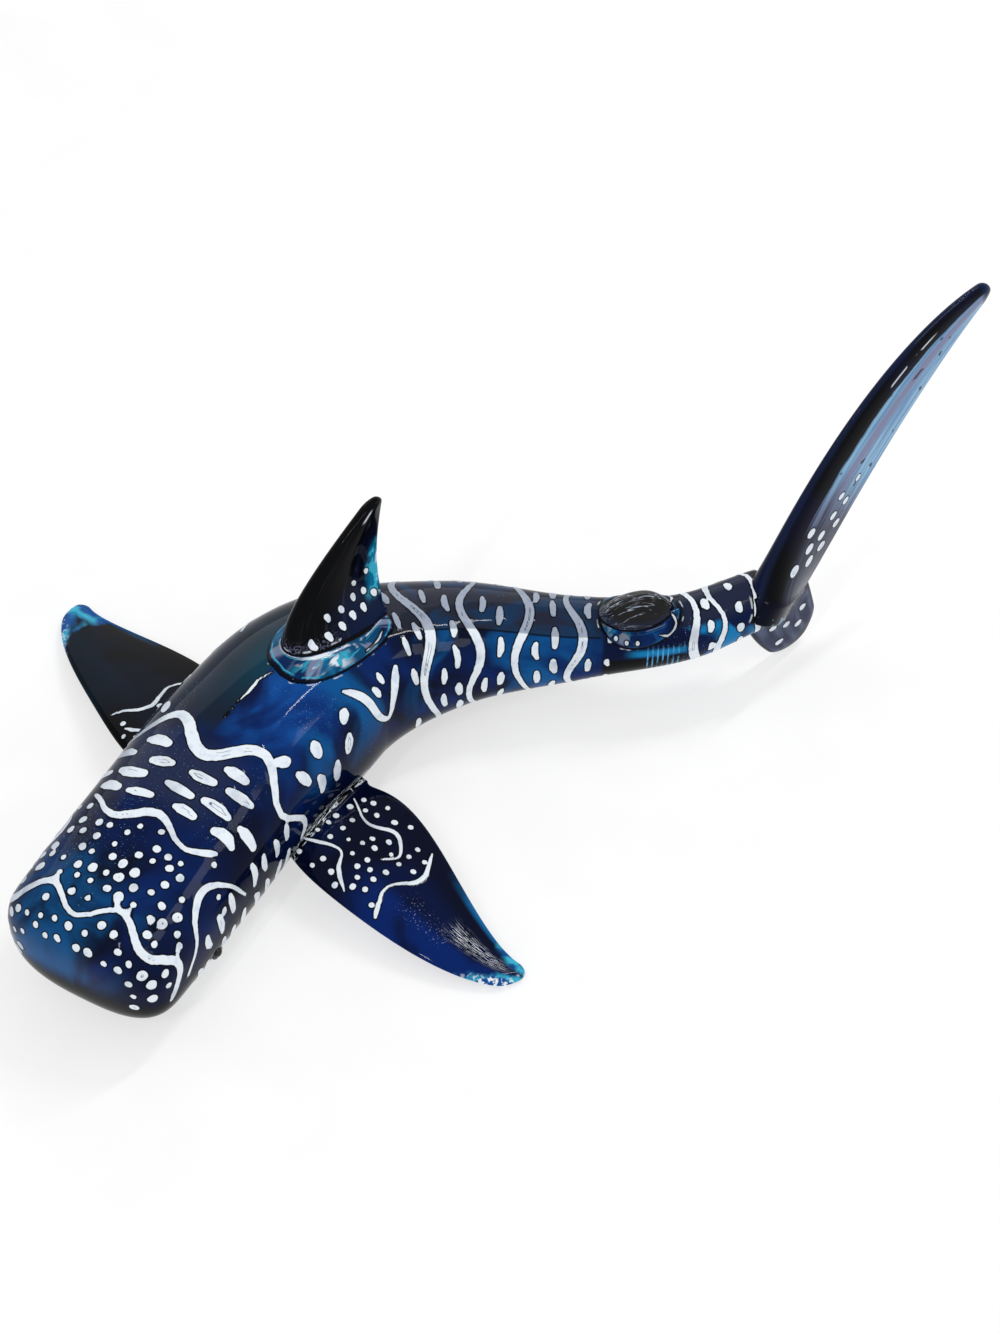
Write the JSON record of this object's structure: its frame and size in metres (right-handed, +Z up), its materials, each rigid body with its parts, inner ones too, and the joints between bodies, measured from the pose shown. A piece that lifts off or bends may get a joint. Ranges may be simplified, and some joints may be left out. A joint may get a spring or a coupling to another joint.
{
  "type": "glass whale shark figurine",
  "caption": "Blown glass whale shark with a bowed hollow body, fused fins, swept tail lobes and bead eyes; it rests on a flat ground into its belly.",
  "frame": {"origin": "on the floor, under the middle of the whole figurine's box", "axes": "+X from head to tail, +Y to the shark's right side, +Z up from the floor that the belly rests on"},
  "size_m": [0.4168, 0.2524, 0.1415],
  "materials": {
    "body_glass": "gloss, deep navy with cobalt and teal cloud",
    "fin_glass": "gloss, near-black navy, cyan at thin edges",
    "foot_glass": "gloss, clear teal",
    "tail_glass": "gloss, navy-black with sky-blue streaks",
    "black_glass": "gloss, opaque black"
  },
  "bodies": {
    "root": {"body": "body_glass", "left_pectoral_fin": "fin_glass", "right_pectoral_fin": "fin_glass", "first_dorsal_foot": "foot_glass", "first_dorsal_fin": "fin_glass", "second_dorsal_foot": "foot_glass", "second_dorsal_fin": "black_glass", "upper_tail_lobe": "tail_glass", "lower_tail_lobe": "tail_glass", "left_eye": "black_glass", "right_eye": "black_glass"}
  },
  "joints": []
}
